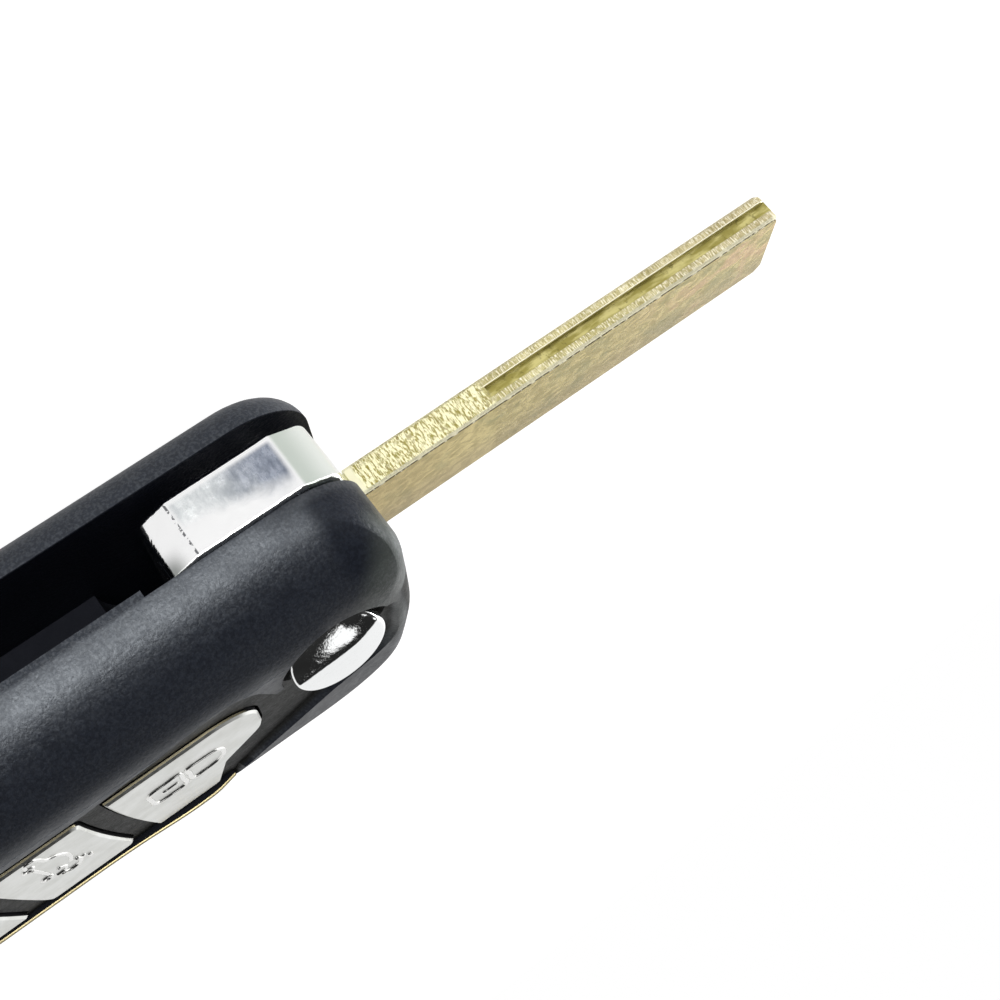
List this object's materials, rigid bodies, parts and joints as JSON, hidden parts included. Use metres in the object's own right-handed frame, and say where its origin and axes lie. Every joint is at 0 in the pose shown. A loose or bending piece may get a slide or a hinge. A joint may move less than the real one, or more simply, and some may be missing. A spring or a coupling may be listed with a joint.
{
  "type": "flip key remote shell",
  "caption": "Folding car key casing: a grooved brass blade on a sprung metal hub swings out of a black two-part shell with a release button and silver push buttons.",
  "frame": {"origin": "middle of the bounding box on the flat back that the key lies on, blade out", "axes": "+X from the body to the blade's tip, +Y towards the side the blade folds into, +Z from the back to the button face"},
  "size_m": [0.1215, 0.0356, 0.0195],
  "materials": {
    "black_plastic": "fine matte moulded texture, mottled sheen",
    "inner_plastic": "plain black moulding",
    "brass": "uncut milled brass, brighter on the narrow edge",
    "hub_chrome": "plated die casting, slightly rippled",
    "button_chrome": "polished plating",
    "satin_silver": "satin silver with bright edges",
    "gold_trim": "thin brass-coloured plating",
    "steel": "plain turned steel",
    "spring_steel": "oiled spring wire",
    "clip_metal": "nickel-plated strip",
    "rubber": "soft matte rubber"
  },
  "bodies": {
    "shell": {"front_shell": "black_plastic", "rear_shell": "black_plastic", "blade_frame": "inner_plastic", "pivot_bush": "steel", "thrust_washer": "steel", "flip_spring": "spring_steel", "keypad_membrane": "rubber", "board_tray": "inner_plastic", "trim_strip": "gold_trim", "battery_clip_negative": "clip_metal", "battery_clip_positive": "clip_metal", "shell_screw_nose": "steel", "shell_screw_tail": "steel", "keyring_pin": "steel"},
    "blade": {"key_blade": "brass", "blade_hub": "hub_chrome", "blade_roll_pin": "steel"},
    "release": {"release_button": "button_chrome"},
    "lock_key": {"lock_button": "satin_silver"},
    "light_key": {"light_button": "satin_silver"},
    "unlock_key": {"unlock_button": "satin_silver"}
  },
  "joints": [
    {"name": "blade_flip", "type": "hinge", "parent": "shell", "child": "blade", "pos_m": [0.00615, 0.00625, 0.007], "axis": [0, 0, 1], "range_deg": [0, 180], "stiffness_Nm_per_rad": 0.01, "springref_deg": -45.84, "deforming": ["flip_spring"]},
    {"name": "release_press", "type": "slide", "parent": "shell", "child": "release", "axis": [0, 0, -1], "range_m": [0, 0.0015], "stiffness_N_per_m": 1500, "springref_m": -0.002, "deforming": ["flip_spring"]},
    {"name": "lock_press", "type": "slide", "parent": "shell", "child": "lock_key", "axis": [0, 0, -1], "range_m": [0, 0.0005], "stiffness_N_per_m": 2000, "springref_m": -0.0003, "deforming": ["keypad_membrane"]},
    {"name": "light_press", "type": "slide", "parent": "shell", "child": "light_key", "axis": [0, 0, -1], "range_m": [0, 0.0005], "stiffness_N_per_m": 2000, "springref_m": -0.0003, "deforming": ["keypad_membrane"]},
    {"name": "unlock_press", "type": "slide", "parent": "shell", "child": "unlock_key", "axis": [0, 0, -1], "range_m": [0, 0.0005], "stiffness_N_per_m": 2000, "springref_m": -0.0003, "deforming": ["keypad_membrane"]}
  ]
}
